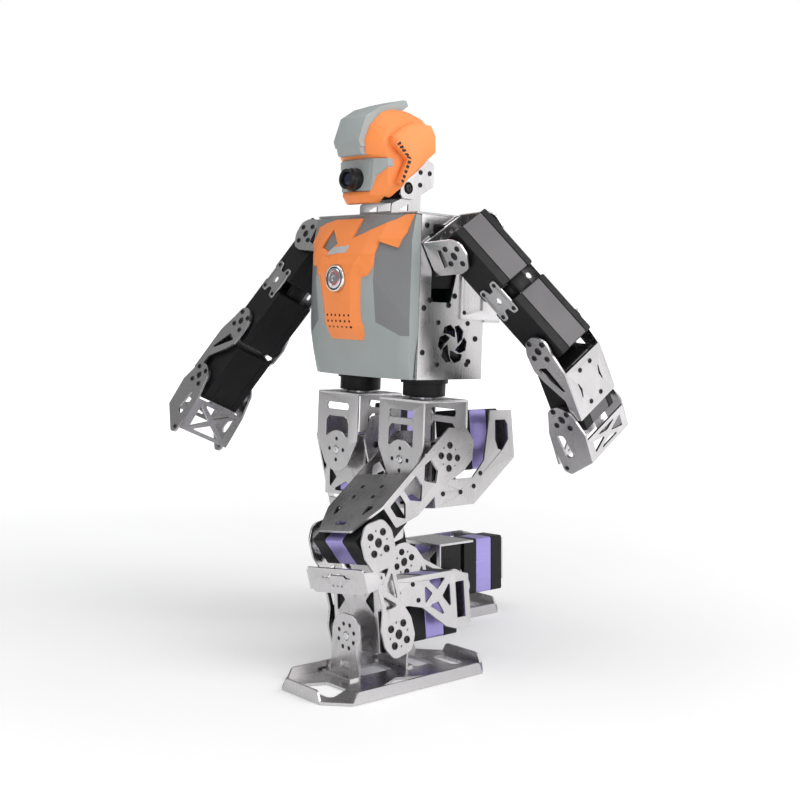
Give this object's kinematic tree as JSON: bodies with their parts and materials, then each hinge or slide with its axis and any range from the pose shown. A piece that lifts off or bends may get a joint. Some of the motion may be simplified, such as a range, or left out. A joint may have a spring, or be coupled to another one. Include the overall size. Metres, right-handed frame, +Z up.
{
  "type": "humanoid robot kit",
  "caption": "Walking humanoid robot built from servos and bent sheet brackets, with faceted head and chest shells, jointed arms and legs and flat tray feet.",
  "frame": {"origin": "on the floor, under the middle of the whole part's box", "axes": "+Z up, the robot faces -Y, its left side is +X"},
  "size_m": [0.2876, 0.2542, 0.3624],
  "materials": {
    "bracket_alu": "fine brushed, silver anodised sheet",
    "servo_leg": "satin black case with a violet anodised middle",
    "servo_arm": "satin black case with a brushed grey side panel",
    "black_plastic": "satin",
    "grey_shell": "fine matt moulded shell",
    "orange_shell": "fine matt moulded shell",
    "chrome_badge": "polished",
    "lens": "polished",
    "board": "solder mask",
    "battery": "shrink wrap",
    "screw": "black oxide"
  },
  "bodies": {
    "torso": {"torso_chassis": "bracket_alu", "torso_top_plate": "bracket_alu", "waist_plate": "bracket_alu", "hip_yaw_bearings": "black_plastic", "hip_yaw_servos": "servo_leg", "shoulder_pitch_servos": "servo_arm", "chest_cover": "grey_shell", "chest_panel": "orange_shell", "chest_badge": "chrome_badge", "battery_pack": "battery", "controller_board": "board", "port_bracket": "bracket_alu", "fan_frame": "black_plastic", "chassis_screws": "screw", "neck_pan_servo": "servo_arm"},
    "fan": {"fan_rotor": "black_plastic"},
    "neck": {"neck_bracket": "bracket_alu", "head_tilt_servo": "servo_arm"},
    "head": {"head_bracket": "bracket_alu", "head_shell": "orange_shell", "head_crest": "grey_shell", "face_mask": "grey_shell", "camera_barrel": "black_plastic", "camera_lens": "lens", "head_vents": "black_plastic"},
    "left_hip": {"left_hip_bracket": "bracket_alu"},
    "left_hip_block": {"left_hip_frame": "bracket_alu", "left_hip_servos": "servo_leg"},
    "left_thigh": {"left_thigh_bracket": "bracket_alu", "left_knee_servo": "servo_leg"},
    "left_calf": {"left_calf_links": "bracket_alu", "left_calf_plate": "bracket_alu"},
    "left_ankle": {"left_ankle_frame": "bracket_alu", "left_ankle_servos": "servo_leg"},
    "left_foot": {"left_foot_bracket": "bracket_alu", "left_foot_plate": "bracket_alu"},
    "left_shoulder": {"left_shoulder_bracket": "bracket_alu"},
    "left_upper_arm": {"left_upper_arm_servos": "servo_arm", "left_arm_join_plates": "bracket_alu"},
    "left_forearm": {"left_forearm_bracket": "bracket_alu", "left_wrist_servo": "servo_arm"},
    "left_hand": {"left_hand_bracket": "bracket_alu"},
    "right_hip": {"right_hip_bracket": "bracket_alu"},
    "right_hip_block": {"right_hip_frame": "bracket_alu", "right_hip_servos": "servo_leg"},
    "right_thigh": {"right_thigh_bracket": "bracket_alu", "right_knee_servo": "servo_leg"},
    "right_calf": {"right_calf_links": "bracket_alu", "right_calf_plate": "bracket_alu"},
    "right_ankle": {"right_ankle_frame": "bracket_alu", "right_ankle_servos": "servo_leg"},
    "right_foot": {"right_foot_bracket": "bracket_alu", "right_foot_plate": "bracket_alu"},
    "right_shoulder": {"right_shoulder_bracket": "bracket_alu"},
    "right_upper_arm": {"right_upper_arm_servos": "servo_arm", "right_arm_join_plates": "bracket_alu"},
    "right_forearm": {"right_forearm_bracket": "bracket_alu", "right_wrist_servo": "servo_arm"},
    "right_hand": {"right_hand_bracket": "bracket_alu"}
  },
  "joints": [
    {"name": "left_hip_yaw", "type": "hinge", "parent": "torso", "child": "left_hip", "pos_m": [0.04714, -0.01119, 0.1264], "axis": [0, 0, 1], "range_deg": [-12, 35]},
    {"name": "left_hip_roll", "type": "hinge", "parent": "left_hip", "child": "left_hip_block", "pos_m": [0.04714, -0.01119, 0.1264], "axis": [0, -1, 0], "range_deg": [-9, 2]},
    {"name": "left_hip_pitch", "type": "hinge", "parent": "left_hip_block", "child": "left_thigh", "pos_m": [0.04714, -0.01119, 0.1264], "axis": [0.9915, 0, 0.1304], "range_deg": [-25, 62]},
    {"name": "left_knee", "type": "hinge", "parent": "left_thigh", "child": "left_calf", "pos_m": [0.05334, -0.07518, 0.07929], "axis": [-0.9915, 0, -0.1304], "range_deg": [-18, 66]},
    {"name": "left_ankle_pitch", "type": "hinge", "parent": "left_calf", "child": "left_ankle", "pos_m": [0.06051, -0.06259, 0.02468], "axis": [0.9915, 0, 0.1304], "range_deg": [-22, 30]},
    {"name": "left_ankle_roll", "type": "hinge", "parent": "left_ankle", "child": "left_foot", "pos_m": [0.06051, -0.06259, 0.02468], "axis": [0, -1, 0], "range_deg": [-10, 22]},
    {"name": "left_shoulder_pitch", "type": "hinge", "parent": "torso", "child": "left_shoulder", "pos_m": [0.08874, -0.01329, 0.267], "axis": [1, 0, 0], "range_deg": [-100, 38]},
    {"name": "left_shoulder_roll", "type": "hinge", "parent": "left_shoulder", "child": "left_upper_arm", "pos_m": [0.08874, -0.01329, 0.267], "axis": [0, -0.8434, -0.5373], "range_deg": [-10, 80]},
    {"name": "left_elbow", "type": "hinge", "parent": "left_upper_arm", "child": "left_forearm", "pos_m": [0.1283, 0.02308, 0.20991], "axis": [0, -0.8434, -0.5373], "range_deg": [-3, 60]},
    {"name": "left_wrist", "type": "hinge", "parent": "left_forearm", "child": "left_hand", "pos_m": [0.12795, 0.04978, 0.168], "axis": [0, -0.8434, -0.5373], "range_deg": [-40, 40]},
    {"name": "right_hip_yaw", "type": "hinge", "parent": "torso", "child": "right_hip", "pos_m": [-0.01626, -0.01119, 0.1264], "axis": [0, 0, 1], "range_deg": [-35, 12]},
    {"name": "right_hip_roll", "type": "hinge", "parent": "right_hip", "child": "right_hip_block", "pos_m": [-0.01626, -0.01119, 0.1264], "axis": [0, 1, 0], "range_deg": [-2, 11]},
    {"name": "right_hip_pitch", "type": "hinge", "parent": "right_hip_block", "child": "right_thigh", "pos_m": [-0.01626, -0.01119, 0.1264], "axis": [-0.999, 0, -0.0448], "range_deg": [-14, 65]},
    {"name": "right_knee", "type": "hinge", "parent": "right_thigh", "child": "right_calf", "pos_m": [-0.0128, 0.00897, 0.04937], "axis": [-0.999, 0, -0.0448], "range_deg": [-18, 49]},
    {"name": "right_ankle_pitch", "type": "hinge", "parent": "right_calf", "child": "right_ankle", "pos_m": [-0.0117, 0.05979, 0.02471], "axis": [0.999, 0, 0.0448], "range_deg": [-8, 62]},
    {"name": "right_ankle_roll", "type": "hinge", "parent": "right_ankle", "child": "right_foot", "pos_m": [-0.0117, 0.05979, 0.02471], "axis": [0, 1, 0], "range_deg": [-18, 14]},
    {"name": "right_shoulder_pitch", "type": "hinge", "parent": "torso", "child": "right_shoulder", "pos_m": [-0.05786, -0.01329, 0.267], "axis": [1, 0, 0], "range_deg": [-80, 85]},
    {"name": "right_shoulder_roll", "type": "hinge", "parent": "right_shoulder", "child": "right_upper_arm", "pos_m": [-0.05786, -0.01329, 0.267], "axis": [0, 0.9272, -0.3746], "range_deg": [-10, 80]},
    {"name": "right_elbow", "type": "hinge", "parent": "right_upper_arm", "child": "right_forearm", "pos_m": [-0.09623, -0.0389, 0.20361], "axis": [0, 0.9272, -0.3746], "range_deg": [-30, 33]},
    {"name": "right_wrist", "type": "hinge", "parent": "right_forearm", "child": "right_hand", "pos_m": [-0.11971, -0.05531, 0.163], "axis": [0, 0.9272, -0.3746], "range_deg": [-40, 40]},
    {"name": "head_pan", "type": "hinge", "parent": "torso", "child": "neck", "pos_m": [0.01544, -0.01919, 0.2854], "axis": [0, 0, 1], "range_deg": [-70, 70]},
    {"name": "head_tilt", "type": "hinge", "parent": "neck", "child": "head", "pos_m": [0.01544, -0.01919, 0.303], "axis": [-1, 0, 0], "range_deg": [-7, 24]},
    {"name": "fan_spin", "type": "hinge", "parent": "torso", "child": "fan", "pos_m": [0.06094, -0.00419, 0.2015], "axis": [1, 0, 0], "continuous": true}
  ]
}
